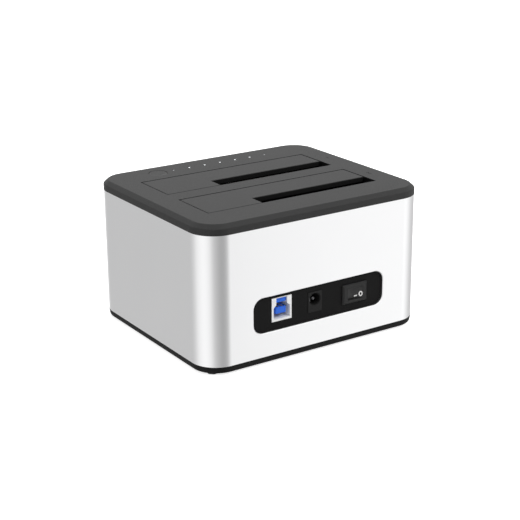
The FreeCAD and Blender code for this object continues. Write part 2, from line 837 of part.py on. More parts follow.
def usb_contacts():
    """Gold strips: two above and two below the main tongue, five under the upper one."""
    deep = y_ports - usb_mouth_depth
    tip = y_ports - tongue_set - strip_set
    strips = []
    for side in (-1, 1):
        x0 = usb_x + side * strip_spread / 2 - strip_width / 2
        for z in (z_board + tongue_low - strip_thick, z_board + tongue_high):
            strips.append(box(x0, x0 + strip_width, deep, tip, z, z + strip_thick))
    z = z_board + upper_tongue_low
    for n in range(-2, 3):
        x0 = usb_x + n * upper_strip_pitch - upper_strip_width / 2
        strips.append(box(x0, x0 + upper_strip_width, deep, tip, z - strip_thick, z))
    return strips


def dc_jack_body():
    """The moulded power inlet."""
    z = z_board + jack_bore_rise
    back = y_ports - jack_depth
    body = box(jack_x - jack_length / 2, jack_x + jack_length / 2, back, y_ports,
               z_board, z_board + jack_height)
    r = jack_bore_radius
    body = body.cut(deep_rod(jack_x, z, y_ports - jack_bore_depth, y_ports + 1, r))
    rim = []
    for edge in body.Edges:
        b = edge.BoundBox
        if b.YMin > y_ports - 1e-4 and abs(b.XLength - 2 * r) < 1e-3:
            rim.append(edge)
    body = body.makeChamfer(port_chamfer, rim)
    return body.cut(deep_rod(jack_x, z, back - 1, y_ports, jack_pin_radius))


def dc_jack_pin():
    """The centre contact of the power inlet."""
    return deep_rod(jack_x, z_board + jack_bore_rise, y_ports - jack_depth, y_ports - jack_pin_set,
                    jack_pin_radius)


def dc_jack_leaf():
    """The sprung side contact of the power inlet."""
    z = z_board + jack_bore_rise
    half = math.radians(leaf_half_angle)
    x1 = jack_x + jack_bore_radius * math.cos(half) - leaf_bite
    rise = jack_bore_radius * math.sin(half)
    return box(x1 - leaf_thick, x1, y_ports - jack_bore_depth, y_ports - jack_pin_set, z - rise, z + rise)


# ---------------------------------------------------------------- rocker switch
def rocker_body():
    """The snap-in switch housing: a bezel with the paddle's opening, and a pocket behind it."""
    mid = z_shell + rocker_rise
    bezel = box(rocker_x - rocker_length / 2, rocker_x + rocker_length / 2, y_panel,
                y_panel + rocker_bezel, mid - rocker_height / 2, mid + rocker_height / 2)
    front_edges = [edge for edge in bezel.Edges if edge.BoundBox.YMin > y_panel + rocker_bezel - 1e-4]
    bezel = bezel.makeChamfer(bezel_chamfer, front_edges)
    back = y_panel - rocker_depth
    case = box(rocker_x - rocker_body_length / 2, rocker_x + rocker_body_length / 2, back, y_panel,
               mid - rocker_body_height / 2, mid + rocker_body_height / 2)
    half = rocker_body_length / 2 - rocker_wall
    half_z = rocker_height / 2 - bezel_side_rim
    axis_y = y_panel - rocker_axis_depth
    pocket = box(rocker_x - half, rocker_x + half, axis_y - rocker_well, axis_y,
                 mid - half_z, mid + half_z)
    mouth = box(rocker_x - half, rocker_x + half, axis_y, y_panel + rocker_bezel + 1,
                mid - half_z, mid + half_z)
    mouth = mouth.common(upright_rod(rocker_x, axis_y, mid - half_z, mid + half_z, half))
    reach = rocker_body_height / 2 + 1
    bore = upright_rod(rocker_x, axis_y, mid - reach, mid + reach, trunnion_radius + hinge_play)
    return carve(join([bezel, case]), [pocket, mouth, bore])


def rocker_paddle():
    """The paddle: a dished face and a narrow belly between ends that are arcs about its trunnions."""
    mid = z_shell + rocker_rise
    axis_y = y_panel - rocker_axis_depth
    half_z = rocker_height / 2 - bezel_side_rim - rocker_play
    face_y = rocker_axis_depth + rocker_rise_out
    tip = math.asin((face_y + rocker_dish) / paddle_radius)
    root = math.asin(rocker_axis_depth / paddle_radius) - math.radians(rocker_tilt + paddle_spare)

    def place(x, y):
        return V(rocker_x + x, axis_y + y, mid - half_z)

    def end_point(side, angle):
        return place(side * paddle_radius * math.cos(angle), paddle_radius * math.sin(angle))

    outline = []
    for side in (1, -1):
        arc = Part.Arc(end_point(side, root), end_point(side, (root + tip) / 2), end_point(side, tip))
        outline += [arc.toShape(),
                    Part.makeLine(end_point(side, tip), place(0, face_y - rocker_dish)),
                    Part.makeLine(end_point(side, root), place(side * rocker_belly, -rocker_belly))]
    outline.append(Part.makeLine(place(rocker_belly, -rocker_belly), place(-rocker_belly, -rocker_belly)))
    face = Part.Face(Part.Wire(Part.__sortEdges__(outline)))
    reach = rocker_body_height / 2
    pin = upright_rod(rocker_x, axis_y, mid - reach, mid + reach, trunnion_radius)
    paddle = join([face.extrude(V(0, 0, 2 * half_z)), pin])
    paddle.rotate(V(rocker_x, axis_y, 0), V(0, 0, 1), -rocker_tilt)
    return paddle


def rocker_terminals():
    """Two blades at the back of the switch."""
    mid = z_shell + rocker_rise
    back = y_panel - rocker_depth
    blades = []
    for side in (-1, 1):
        x0 = rocker_x + side * blade_spread / 2 - blade_thick / 2
        blades.append(box(x0, x0 + blade_thick, back - blade_length, back,
                          mid - blade_width / 2, mid + blade_width / 2))
    return blades


# ---------------------------------------------------------------- indicators and button
def indicator_board():
    """The narrow board under the front of the cover."""
    (first, left), (last, right) = indicator_board_ends()
    half = indicator_board_width / 2
    return box(first, last, front_row_y - half, front_row_y + half, z_lights - board_thick, z_lights)


def light_emitters():
    """Seven surface-mounted emitters."""
    half_x = emitter_length / 2
    half_y = emitter_width / 2
    return [box(x - half_x, x + half_x, front_row_y - half_y, front_row_y + half_y,
                z_lights, z_lights + emitter_height) for x in light_places()]


def light_pipes():
    """Clear pipes that bring the light up to the cover."""
    foot = z_lights + emitter_height + emitter_gap
    return [slim_rod(x, front_row_y, foot, z_top, light_radius, light_sides) for x in light_places()]


def clone_button():
    """The button, with a flange under the cover and a stem down to the switch."""
    under = z_plate - button_flange
    cap = upright_rod(button_x, front_row_y, under, z_top, button_radius)
    cap = cap.makeChamfer(edge_ease, level_edges(cap, z_top, (-1e3, 1e3, -1e3, 1e3)))
    half = button_radius + button_flange
    flange = box(button_x - half, button_x + half, front_row_y - half, front_row_y + half,
                 under, z_plate - tab_gap)
    half = button_stem / 2
    stem = box(button_x - half, button_x + half, front_row_y - half, front_row_y + half,
               z_lights + tact_height + plunger_show, under)
    return join([cap, flange, stem])


def tact_switch():
    """The body of the switch under the button."""
    half = tact_side / 2
    top = z_lights + tact_height
    body = box(button_x - half, button_x + half, front_row_y - half, front_row_y + half, z_lights, top)
    half = plunger_side / 2 + plunger_play
    return body.cut(box(button_x - half, button_x + half, front_row_y - half, front_row_y + half,
                        top - tact_well, top + 1))


def tact_plunger():
    """The plunger that the button presses."""
    top = z_lights + tact_height
    half = plunger_side / 2
    return box(button_x - half, button_x + half, front_row_y - half, front_row_y + half,
               top - tact_well + button_travel + plunger_spare, top + plunger_show)


# ---------------------------------------------------------------- fasteners
def case_screw(x, y):
    """A countersunk screw driven upwards: its head is flush with the underside of the base."""
    head = screw_head_radius - screw_radius
    cone = Part.makeCone(screw_head_radius, screw_radius, head, V(x, y, z_base), V(0, 0, 1))
    shank = upright_rod(x, y, z_base + head, z_base + screw_length, screw_radius)
    return join([cone, shank])


def case_screws():
    return [case_screw(x, y) for x, y in post_places()]


def main():
    os.makedirs("parts", exist_ok=True)
    write("aluminium_shell", [aluminium_shell()])
    write("top_cover", [top_cover()])
    write("base_tray", [base_tray()])
    write("rubber_feet", rubber_feet())
    for bay in bay_middles:
        write(bay + "_bay_door", [bay_door(bay)])
        write(bay + "_hinge_pin", [hinge_pin(bay)])
        write(bay + "_door_spring", [door_spring(bay)])
        write(bay + "_bay_liner", [bay_liner(bay)])
        write(bay + "_drive_connector", [sata_receptacle(bay)])
        write(bay + "_drive_contacts", sata_contacts(bay))
    write("main_board", [main_board()])
    write("chips", chips())
    write("capacitors", capacitors())
    write("board_headers", board_headers())
    write("port_panel", [port_panel()])
    write("usb_shell", [usb_shell()])
    write("usb_insulator", [usb_insulator()])
    write("usb_contacts", usb_contacts())
    write("dc_jack_body", [dc_jack_body()])
    write("dc_jack_pin", [dc_jack_pin()])
    write("dc_jack_leaf", [dc_jack_leaf()])
    write("rocker_body", [rocker_body()])
    write("rocker_paddle", [rocker_paddle()])
    write("rocker_terminals", rocker_terminals())
    write("indicator_board", [indicator_board()])
    write("light_emitters", light_emitters())
    write("light_pipes", light_pipes())
    write("clone_button", [clone_button()])
    write("tact_switch", [tact_switch()])
    write("tact_plunger", [tact_plunger()])
    write("case_screws", case_screws())


main()
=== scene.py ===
"""Looks of the drive duplicator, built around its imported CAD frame.

The frame is in metres, with +Z up. Here the object's sizes and places are written in millimetres,
and MM turns them into metres. The stage and the scales of the textures are in metres.
"""

import json
import math

import bmesh
import bpy
from mathutils import Matrix, Vector

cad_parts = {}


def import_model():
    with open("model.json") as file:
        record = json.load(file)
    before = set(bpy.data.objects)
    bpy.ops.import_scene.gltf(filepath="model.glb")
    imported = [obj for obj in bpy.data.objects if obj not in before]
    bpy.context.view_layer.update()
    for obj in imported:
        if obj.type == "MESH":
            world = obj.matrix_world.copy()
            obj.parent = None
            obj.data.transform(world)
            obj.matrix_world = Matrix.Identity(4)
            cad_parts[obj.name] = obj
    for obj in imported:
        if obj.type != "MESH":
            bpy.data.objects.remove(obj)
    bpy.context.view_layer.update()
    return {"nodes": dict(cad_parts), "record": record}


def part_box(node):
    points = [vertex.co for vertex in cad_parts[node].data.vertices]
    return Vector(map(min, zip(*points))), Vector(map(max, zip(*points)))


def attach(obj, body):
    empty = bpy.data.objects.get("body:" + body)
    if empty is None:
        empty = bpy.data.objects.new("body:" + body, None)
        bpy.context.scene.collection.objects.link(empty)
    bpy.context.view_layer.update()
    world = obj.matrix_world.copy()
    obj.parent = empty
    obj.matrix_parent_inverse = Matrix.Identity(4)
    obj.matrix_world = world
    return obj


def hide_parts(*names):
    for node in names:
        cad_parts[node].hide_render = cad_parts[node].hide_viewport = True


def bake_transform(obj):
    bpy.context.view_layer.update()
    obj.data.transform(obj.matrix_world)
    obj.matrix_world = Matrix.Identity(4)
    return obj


MM = 0.001
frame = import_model()
nodes = frame["nodes"]
behaviour = frame["record"]["behaviour"]
joints = {joint["name"]: joint for joint in behaviour["joints"]}
body_of = {node: body for body, held in behaviour["bodies"].items() for node in held}
slot_of = {row["node"]: row["material_slot"] for row in frame["record"]["subparts"]}


# ---------------------------------------------------------------- places read from the frame
def limits(node):
    """Lowest and highest corner of a node, in millimetres."""
    low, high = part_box(node)
    return Vector(low) / MM, Vector(high) / MM


cover_high = limits("top_cover")[1]
shell_low, shell_high = limits("aluminium_shell")
base_low = limits("base_tray")[0]
foot_low = limits("rubber_feet")[0]
socket_low, socket_high = limits("usb_shell")
jack_pin_high = limits("dc_jack_pin")[1]
button_low, button_high = limits("clone_button")
lights_low, lights_high = limits("light_pipes")

half_length = cover_high.x
half_width = cover_high.y
outline_radius = 14.3                 # of the casing's upright corners
z_top = cover_high.z
z_band = z_top - 2.1                  # where the cover's upright band meets its slope
z_cover = shell_high.z                # where the sleeve meets the cover
button_middle = (button_low + button_high) / 2
socket_x = (socket_low.x + socket_high.x) / 2

light_count = 7
lit_count = 5                         # the ones in the middle
light_radius = (lights_high.y - lights_low.y) / 2
light_pitch = (lights_high.x - lights_low.x - 2 * light_radius) / (light_count - 1)
lights_x = (lights_low.x + lights_high.x) / 2
lights_y = (lights_low.y + lights_high.y) / 2


# ---------------------------------------------------------------- node materials
class Graph:
    """Short calls for making the nodes of one tree."""

    def __init__(self, tree):
        self.tree = tree

    def node(self, kind, **settings):
        made = self.tree.nodes.new(kind)
        for key, value in settings.items():
            setattr(made, key, value)
        return made

    def link(self, source, target):
        self.tree.links.new(source, target)

    def math(self, operation, *terms):
        """One sum: a term is a number or a node's output."""
        node = self.node("ShaderNodeMath", operation=operation)
        for socket, term in zip(node.inputs, terms):
            if isinstance(term, (int, float)):
                socket.default_value = term
            else:
                self.link(term, socket)
        return node.outputs[0]

    def ramp(self, source, low, high, value_low, value_high, kind="LINEAR"):
        """A number that runs from one value to another as the source runs from low to high."""
        node = self.node("ShaderNodeMapRange", interpolation_type=kind)
        node.inputs["From Min"].default_value = low
        node.inputs["From Max"].default_value = high
        node.inputs["To Min"].default_value = value_low
        node.inputs["To Max"].default_value = value_high
        self.link(source, node.inputs["Value"])
        return node.outputs["Result"]


class Shader(Graph):
    """A node material round one Principled shader."""

    # A Mix node lists the sockets of all its data types. These are the colour ones.
    MIX_LOW, MIX_HIGH, MIX_RESULT = 6, 7, 2

    def __init__(self, name, **values):
        self.material = bpy.data.materials.new(name)
        self.material.use_nodes = True
        super().__init__(self.material.node_tree)
        self.tree.nodes.clear()
        self.output = self.node("ShaderNodeOutputMaterial")
        self.principled = self.node("ShaderNodeBsdfPrincipled")
        self.link(self.principled.outputs["BSDF"], self.output.inputs["Surface"])
        for socket, value in values.items():
            self.set(socket, value)
        self.place = self.node("ShaderNodeTexCoord").outputs["Object"]

    def set(self, socket, value):
        """Sets the shader's input of that name. A colour needs no alpha."""
        socket = socket.replace("_", " ").title().replace("Ior", "IOR")
        if isinstance(value, tuple) and len(value) == 3:
            value = value + (1.0,)
        self.principled.inputs[socket].default_value = value

    def noise(self, scale, detail=2.0, roughness=0.5, stretch=(1, 1, 1)):
        """A noise of so many cells per metre, from 0 to 1."""
        mapping = self.node("ShaderNodeMapping")
        mapping.inputs["Scale"].default_value = stretch
        self.link(self.place, mapping.inputs["Vector"])
        noise = self.node("ShaderNodeTexNoise")
        noise.inputs["Scale"].default_value = scale
        noise.inputs["Detail"].default_value = detail
        noise.inputs["Roughness"].default_value = roughness
        self.link(mapping.outputs["Vector"], noise.inputs["Vector"])
        return noise.outputs["Fac"]

    def mix(self, factor, low, high, target="Base Color"):
        """The factor picks between two colours for one input."""
        node = self.node("ShaderNodeMix", data_type="RGBA")
        node.inputs[self.MIX_LOW].default_value = low + (1.0,)
        node.inputs[self.MIX_HIGH].default_value = high + (1.0,)
        self.link(factor, node.inputs["Factor"])
        self.link(node.outputs[self.MIX_RESULT], self.principled.inputs[target])

    def vary_roughness(self, noise, low, high):
        """The roughness over the part of a noise's range that most of it lies in."""
        self.link(self.ramp(noise, 0.3, 0.7, low, high), self.principled.inputs["Roughness"])

    def bump(self, height, strength, depth):
        """A relief whose depth is in millimetres."""
        node = self.node("ShaderNodeBump")
        node.inputs["Strength"].default_value = strength
        node.inputs["Distance"].default_value = depth * MM
        self.link(height, node.inputs["Height"])
        self.link(node.outputs["Normal"], self.principled.inputs["Normal"])


def grey(value):
    return (value, value, value)


def shade(colour, factor):
    return tuple(channel * factor for channel in colour)


def moulded(name, colour, roughness, gloss, grain, depth, variation=0.12):
    """A moulded plastic: spark texture of so many grains per metre, and slow changes of colour."""
    shader = Shader(name, base_color=colour, specular_ior_level=gloss)
    slow = shader.noise(45, detail=3.0)
    fine = shader.noise(grain, roughness=0.6)
    shader.mix(slow, shade(colour, 1 - variation), shade(colour, 1 + variation))
    shader.vary_roughness(fine, roughness - 0.06, roughness + 0.06)
    shader.bump(fine, 0.35, depth)
    return shader.material


def anodised(name):
    """Bead-blasted anodised aluminium: an even satin with a grain that hardly shows."""
    shader = Shader(name, metallic=1.0)
    fine = shader.noise(5200, roughness=0.6)
    slow = shader.noise(28, detail=3.0)
    shader.mix(slow, (0.895, 0.897, 0.902), (0.920, 0.921, 0.926))
    shader.vary_roughness(fine, 0.28, 0.34)
    shader.bump(fine, 0.10, 0.02)
    return shader.material


def metal(name, colour, roughness, stretch=(1, 1, 1), metallic=1.0):
    """A plated or drawn metal with fine marks, which a stretch lays along one direction."""
    shader = Shader(name, metallic=metallic, base_color=colour)
    marks = shader.noise(2600, 3.0, 0.6, stretch)
    shader.mix(shader.noise(160), shade(colour, 0.93), colour)
    shader.vary_roughness(marks, roughness * 0.75, roughness * 1.3)
    shader.bump(marks, 0.12, 0.01)
    return shader.material


def laminate(name):
    """Green solder mask over a glass weave, with the shadow of the tracks under it."""
    shader = Shader(name, roughness=0.32)
    weave = shader.noise(900, 1.0, 0.5, (1, 3, 1))
    tracks = shader.ramp(shader.noise(420, 0.0, 0.0, (3, 1, 1)), 0.47, 0.5, 0, 1)
    shader.mix(tracks, (0.006, 0.055, 0.022), (0.010, 0.090, 0.036))
    shader.bump(weave, 0.2, 0.02)
    return shader.material


def lit_pipes(name):
    """Clear pipes. The ones in the middle glow, and the first and the last are off, with a faint
    glow that is painted light.
    """
    shader = Shader(name, base_color=(0.30, 0.31, 0.32), roughness=0.25)
    split = shader.node("ShaderNodeSeparateXYZ")
    shader.link(shader.place, split.inputs["Vector"])
    from_middle = shader.math("SUBTRACT", split.outputs["X"], lights_x * MM)
    lit = shader.math("LESS_THAN", shader.math("ABSOLUTE", from_middle),
                      lit_count / 2 * light_pitch * MM)
    shader.mix(shader.noise(3000, 1.0), (0.90, 0.95, 1.0), (1.0, 1.0, 1.0), "Emission Color")
    # Full glow for the lit ones in the middle; the faint glow of the off ones at the ends is
    # painted light.
    strength = shader.ramp(lit, 0, 1, 0.30, 1.8)
    shader.link(strength, shader.principled.inputs["Emission Strength"])
    return shader.material


# Each finish: the function that makes it, and what that takes after the name. For moulded that is
# colour, roughness, gloss, grain, depth and variation, and for metal colour, roughness, stretch and
# metallic.
recipes = {
    "anodised_aluminium": (anodised,),
    "cover_plastic": (moulded, grey(0.0212), 0.52, 0.345, 3600, 0.035),
    "door_plastic": (moulded, grey(0.0228), 0.52, 0.35, 3600, 0.035),
    "button_plastic": (moulded, grey(0.0228), 0.52, 0.35, 3600, 0.03),
    # The button's rim: glossier, which is real, and lighter in colour, which is a painted
    # highlight.
    "button_rim": (moulded, grey(0.110), 0.22, 0.60, 3600, 0.01),
    "base_plastic": (moulded, grey(0.009), 0.55, 0.12, 3200, 0.03),
    # The bays' black plastic, made darker than the other plastics as painted shade in the deep
    # bays. It also lines the cover's and the doors' gap walls as painted shade.
    "inner_plastic": (moulded, grey(0.004), 0.70, 0.06, 2400, 0.03),
    # A darker plastic for a door's side towards the ports: painted shade in the gap.
    "edge_plastic": (moulded, grey(0.010), 0.60, 0.10, 3200, 0.02),
    "panel_plastic": (moulded, grey(0.010), 0.60, 0.08, 3200, 0.02),
    "jack_plastic": (moulded, grey(0.018), 0.50, 0.12, 3200, 0.015),
    "switch_plastic": (moulded, grey(0.022), 0.42, 0.20, 3200, 0.015),
    "paddle_plastic": (moulded, grey(0.038), 0.40, 0.30, 3200, 0.015),
    "foot_rubber": (moulded, (0.030, 0.030, 0.031), 0.85, 0.20, 1800, 0.05),
    "connector_plastic": (moulded, grey(0.012), 0.50, 0.30, 3000, 0.02),
    "chip_epoxy": (moulded, (0.018, 0.018, 0.019), 0.62, 0.40, 2600, 0.03),
    "tact_body": (moulded, grey(0.028), 0.50, 0.40, 3000, 0.02),
    "usb_blue": (moulded, (0.035, 0.165, 0.800), 0.45, 0.25, 3200, 0.015, 0.06),
    "mark_paint": (moulded, (0.92, 0.92, 0.91), 0.55, 0.40, 2600, 0.01, 0.04),
    "numeral_ink": (moulded, grey(0.006), 0.60, 0.06, 2600, 0.01),
    "board_laminate": (laminate,),
    "light_pipe": (lit_pipes,),
    "contact_gold": (metal, (0.86, 0.62, 0.25), 0.28),
    "plated_steel": (metal, grey(0.95), 0.42, (1, 1, 1), 0.35),
    # A white, matte copy of the socket's steel for the walls of its mouth: painted light on walls
    # in the socket's shade.
    "tinned_steel": (metal, grey(0.97), 0.50, (1, 1, 1), 0.0),
    # A dark copy of steel for the power inlet's pin and leaf: painted shade deep in its bore.
    "dull_steel": (metal, (0.12, 0.12, 0.125), 0.30),
    "spring_steel": (metal, (0.58, 0.58, 0.60), 0.32),
    "zinc_steel": (metal, (0.66, 0.66, 0.68), 0.36),
    "capacitor_sleeve": (metal, (0.62, 0.62, 0.64), 0.34, (1, 1, 0.1)),
}
finishes = {name: make(name, *values) for name, (make, *values) in recipes.items()}
for node, thing in nodes.items():
    for slot in thing.material_slots:
        slot.material = finishes[slot_of[node]]


# ---------------------------------------------------------------- pieces with a node's own form
SAME_POINT = 2e-6                     # metres: corners of a form that are one corner
SAME_FACE = 0.4                       # degrees: triangles of a form that are one flat face
SAME_LEVEL = 0.02                     # millimetres: corners at one height


def shaded(bm, sharp):
    """Smooth faces, with every edge that turns by more than the angle left sharp."""
    for face in bm.faces:
        face.smooth = True
    for edge in bm.edges:
        edge.smooth = len(edge.link_faces) == 2 and edge.calc_face_angle(0) < math.radians(sharp)


def made(name, bm, body, slot=None, finish=None, sharp=28.0):
    """A finished object from a mesh under construction. A printed mark has a finish and no slot,
    and a door's spring has no body."""
    shaded(bm, sharp)
    mesh = bpy.data.meshes.new(name)
    bm.to_mesh(mesh)
    bm.free()
    piece = bpy.data.objects.new(name, mesh)
    bpy.context.scene.collection.objects.link(piece)
    mesh.materials.append(finishes[finish or slot])
    weighted = piece.modifiers.new("weighted", "WEIGHTED_NORMAL")
    weighted.keep_sharp = True
    weighted.weight = 100
    if body:
        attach(piece, body)
    return piece


def form_of(node):
    """The node's form, welded, with the triangles of each flat face joined."""
    bm = bmesh.new()
    bm.from_mesh(nodes[node].data)
    bm.transform(nodes[node].matrix_world)
    bmesh.ops.remove_doubles(bm, verts=bm.verts, dist=SAME_POINT)
    bmesh.ops.dissolve_limit(bm, angle_limit=math.radians(SAME_FACE), verts=bm.verts,
                             edges=bm.edges)
    return bm


def reorder(parts, place):
    """Sorts a form's corners or faces. A bevel leaves them in a different order in each run."""
    for index, part in enumerate(sorted(parts, key=place)):
        part.index = index
    parts.sort()


def soften(bm, width, pick, segments=3, least=25.0):
    """Rounds the edges that turn by at least so many degrees and that the pick accepts. It is asked
    with both ends of the edge, in millimetres."""
    chosen = []
    for edge in bm.edges:
        if len(edge.link_faces) == 2 and edge.calc_face_angle(0) > math.radians(least):
            a, b = (vert.co / MM for vert in edge.verts)
            if pick(a, b):
                chosen.append(edge)
    bmesh.ops.bevel(bm, geom=chosen, offset=width * MM, offset_type="OFFSET", segments=segments,
                    profile=0.5, affect="EDGES", clamp_overlap=True)
    reorder(bm.verts, lambda vert: tuple(vert.co))
    reorder(bm.faces, lambda face: (*face.calc_center_median(), face.calc_area()))


def dressed(node, *cuts, finish=None, raised=None, **linings):
    """A piece that stands for a node: its form with some edges rounded. A cut is (width, pick).
    A lining is a finish for the faces that its test accepts, from (middle, normal) in millimetres.
    Where one level of the form is raised, it is (its height, how far)."""
    bm = form_of(node)
    for vert in bm.verts:
        if raised and abs(vert.co.z / MM - raised[0]) < SAME_LEVEL:
            vert.co.z += raised[1] * MM
    for width, pick in cuts:
        soften(bm, width, pick)
    for face in bm.faces:
        for index, test in enumerate(linings.values(), 1):
            if test(face.calc_center_median() / MM, face.normal):
                face.material_index = index
    piece = made(node + "_skin", bm, body_of[node], slot_of[node], finish)
    for lining in linings:
        piece.data.materials.append(finishes[lining])
    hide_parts(node)


def level(z, *tests):
    """Picks the edges that lie at one height and pass the tests."""
    def pick(a, b):
        at_height = abs(a.z - z) < SAME_LEVEL and abs(b.z - z) < SAME_LEVEL
        return at_height and all(test(a, b) for test in tests)
    return pick


def outermost(inset, slack=0.1):
    """Accepts the edges on the casing's outline, or up to an inset inside it. The slack is for the
    flat lengths that its round corners are made of."""
    def on_outline(point):
        if abs(point.x) > half_length - inset or abs(point.y) > half_width - inset:
            return True
        from_corner = math.hypot(max(0, abs(point.x) - half_length + outline_radius),
                                 max(0, abs(point.y) - half_width + outline_radius))
        return from_corner > outline_radius - inset - slack
    return lambda a, b: on_outline(a) and on_outline(b)


def below_top(middle, by=0.01):
    return middle.z < z_top - by


def upright(normal):
    return abs(normal.z) < 0.5


def cover_walls_painted_shade(middle, normal, margin=8, round_button=6):
    """Faces inside the cover: the walls of its openings, and all that is under its top, which take
    the darker inner plastic as painted shade. The margin keeps off the rim, and the hole round the
    button stays as it is."""
    inside = max(abs(middle.x) - half_length, abs(middle.y) - half_width) < -margin
    return inside and below_top(middle) and (middle - button_middle).xy.length > round_button


def door_edge_painted_shade(middle, normal):
    """The side of a door that faces the ports, which takes a darker plastic as painted shade in the
    gap.
    """
    return below_top(middle) and upright(normal) and normal.y > 0.5


def door_end_painted_shade(middle, normal):
    """The other sides of a door, which take the darkest plastic as painted shade in the gaps."""
    return below_top(middle) and upright(normal) and normal.y <= 0.5


def button_slope_painted_highlight(middle, normal, rim=0.4):
    """The slanted rim round the top of the button, which takes a lighter finish as a painted
    highlight.
    """
    return middle.z > z_top - rim and 0.3 < normal.z < 0.95


def mouth_wall_painted_light(middle, normal, face=0.05, to_low_x=5.4, to_high_x=5.6):
    """The walls of the socket's opening, behind its face, which take a white, matte steel as
    painted light. Of the two side walls at the very back, which no view shows, it takes the one at
    high x."""
    behind_face = middle.y < socket_high.y - face
    between_sides = -to_low_x < middle.x - socket_x < to_high_x
    return behind_face and between_sides and middle.z > socket_low.z


def pin_tip(a, b):
    """The edges at the open end of the power inlet's pin."""
    return min(a.y, b.y) > jack_pin_high.y - SAME_LEVEL


# The cover's inner walls take the darker inner plastic: painted shade in the gaps round the doors.
dressed("top_cover",
        (0.35, level(z_band, outermost(0.2))),
        (0.25, level(z_top, outermost(3.2))),
        (0.2, level(z_cover, outermost(0.2))),
        inner_plastic=cover_walls_painted_shade)
dressed("base_tray",
        (0.25, level(shell_low.z, outermost(0.2))),
        (1.0, level(base_low.z, outermost(1.6))))
dressed("aluminium_shell")
for bay in ("front", "rear"):
    # The darker linings on the doors' sides are painted shade in the gaps round them.
    dressed(bay + "_bay_door", edge_plastic=door_edge_painted_shade, inner_plastic=door_end_painted_shade)
# The button's rim takes a lighter plastic: a painted highlight.
dressed("clone_button", button_rim=button_slope_painted_highlight)
dressed("rocker_paddle", finish="paddle_plastic")
socket_ceiling = socket_high.z - 0.9  # of its opening, and the upper side of its main tongue
# The walls of the socket's mouth take a white, matte steel as painted light.
dressed("usb_shell", raised=(socket_ceiling, 0.6), tinned_steel=mouth_wall_painted_light)
dressed("usb_insulator", raised=(socket_ceiling, 0.35))
for node in ("dc_jack_body", "rocker_body", "front_hinge_pin",
             "rear_hinge_pin", "case_screws", "capacitors"):
    dressed(node)
dressed("rubber_feet", (0.35, level(foot_low.z)))
# The pin and its leaf take a darkened steel: painted shade in the inlet's bore.
dressed("dc_jack_pin", (0.8, pin_tip), finish="dull_steel")
dressed("dc_jack_leaf", finish="dull_steel")


# ---------------------------------------------------------------- round pieces and print
def angles(count, steps):
    """So many angles in a row, where a full turn takes so many steps."""
    return [2 * math.pi * n / steps for n in range(count)]


def bridge(bm, low, high):
    """Faces between two rings of as many corners."""
    for n in range(len(low)):
        after = (n + 1) % len(low)
        bm.faces.new((low[n], low[after], high[after], high[n]))


def domed_rod(bm, x, y, z, radius, z_end, dome, sides=32):
    """An upright round rod from z to z_end. Its upper end is a low dome."""
    def ring(reach, height):
        return [bm.verts.new(((x + reach * math.cos(turn)) * MM, (y + reach * math.sin(turn)) * MM,
                              height * MM)) for turn in angles(sides, sides)]

    rings = [ring(radius, z)]
    for rise in (0, 0.4, 0.8, 1.2):
        rings.append(ring(radius * math.cos(rise), z_end - dome + dome * math.sin(rise)))
    tip = bm.verts.new((x * MM, y * MM, z_end * MM))
    bm.faces.new(reversed(rings[0]))
    for low, high in zip(rings, rings[1:]):
        bridge(bm, low, high)
    for n in range(sides):
        bm.faces.new((rings[-1][n], rings[-1][(n + 1) % sides], tip))


def round_pipes():
    """The light pipes, each with a low dome."""
    bm = bmesh.new()
    for n in range(light_count):
        x = lights_x + (n - (light_count - 1) / 2) * light_pitch
        domed_rod(bm, x, lights_y, lights_low.z, light_radius, lights_high.z, dome=0.22)
    piece = made("light_pipe_skins", bm, "casing", "light_pipe")
    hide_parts("light_pipes")


def wire(points, radius, sides=10):
    """A round wire along points in millimetres, with flat ends."""
    bm = bmesh.new()
    rings = []
    side = Vector((1, 0, 0))
    for before, point, after in zip([points[0]] + points, points, points[1:] + [points[-1]]):
        along = (after - before).normalized()
        side = (side - along * side.dot(along)).normalized()
        other = along.cross(side)
        spokes = [side * math.cos(turn) + other * math.sin(turn) for turn in angles(sides, sides)]
        rings.append([bm.verts.new((point + spoke * radius) * MM) for spoke in spokes])
    for low, high in zip(rings, rings[1:]):
        bridge(bm, low, high)
    bm.faces.new(reversed(rings[0]))
    bm.faces.new(rings[-1])
    return bm


def door_spring(bay):
    """The torsion spring on a door's pin: a coil with a long leg at one end, and at the other
    a short leg under the cover."""
    radius = 0.3                      # of the wire
    coil = 1.4                        # radius of the coil
    turns = 3
    steps = 20                        # in a turn
    long_leg = Vector((0, 4.6, -0.45))
    short_leg = Vector((0, -1.4, 0.24))
    node = bay + "_door_spring"
    low, high = limits(node)
    axis = Vector(joints[bay + "_door_hinge"]["pos_m"]) / MM
    start = low.x + radius
    end = high.x - radius
    path = []
    for n, turn in enumerate(angles(turns * steps + 1, steps)):
        path.append(Vector((start + (end - start) * n / (turns * steps),
                            axis.y - coil * math.sin(turn), axis.z + coil * math.cos(turn))))
    path = [path[0] + long_leg] + path + [path[-1] + short_leg]
    piece = made(node + "_wire", wire(path, radius), None, slot_of[node], sharp=50.0)
    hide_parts(node)
    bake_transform(piece)


def printed(faces, origin, across, up, lift=0.03):
    """Flat printed faces, given by points (across, up) in millimetres, just above a surface."""
    normal = across.cross(up)
    bm = bmesh.new()
    for corners in faces:
        bm.faces.new([bm.verts.new((origin + across * a + up * b + normal * lift) * MM)
                      for a, b in corners])
    bmesh.ops.remove_doubles(bm, verts=bm.verts, dist=1e-6)
    bmesh.ops.recalc_face_normals(bm, faces=bm.faces)
    for face in bm.faces:
        if face.normal.dot(normal) < 0:
            face.normal_flip()
    return bm


